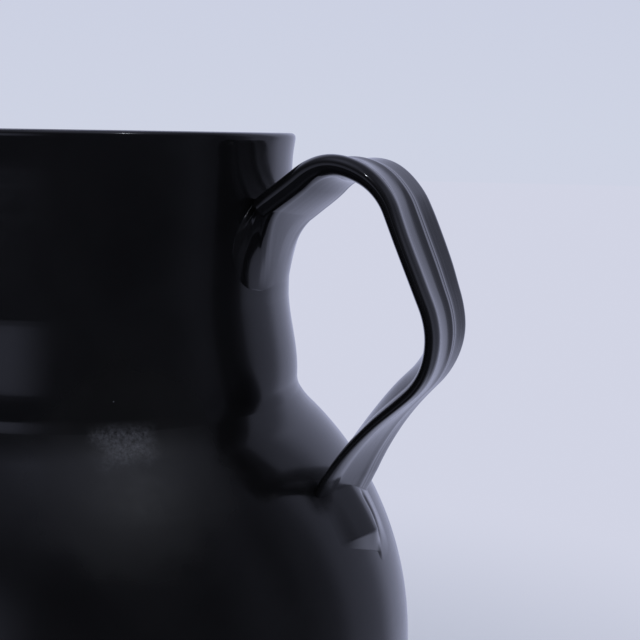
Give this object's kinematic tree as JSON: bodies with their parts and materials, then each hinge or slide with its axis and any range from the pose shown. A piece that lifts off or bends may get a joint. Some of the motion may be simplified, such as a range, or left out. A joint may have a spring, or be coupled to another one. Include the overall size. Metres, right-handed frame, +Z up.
{
  "type": "oinochoe jug",
  "caption": "Round-bodied black-glazed pottery jug with a wide neck, a pulled pouring lip and a tall ribbed strap handle from neck to shoulder.",
  "frame": {"origin": "on the jug's axis, on the plane that the foot ring stands on", "axes": "+Z up the axis to the lip, +X towards the handle, -X towards the pouring lip"},
  "size_m": [0.2171, 0.202, 0.2431],
  "materials": {
    "glaze": "satin-gloss near-black glaze",
    "foot_clay": "unglazed dark stoneware, smooth and matt"
  },
  "bodies": {
    "root": {"body": "glaze", "foot_ring": "foot_clay", "neck": "glaze", "neck_roll": "glaze", "handle_strap": "glaze", "handle_upper_root": "glaze", "handle_lower_root": "glaze"}
  },
  "joints": []
}
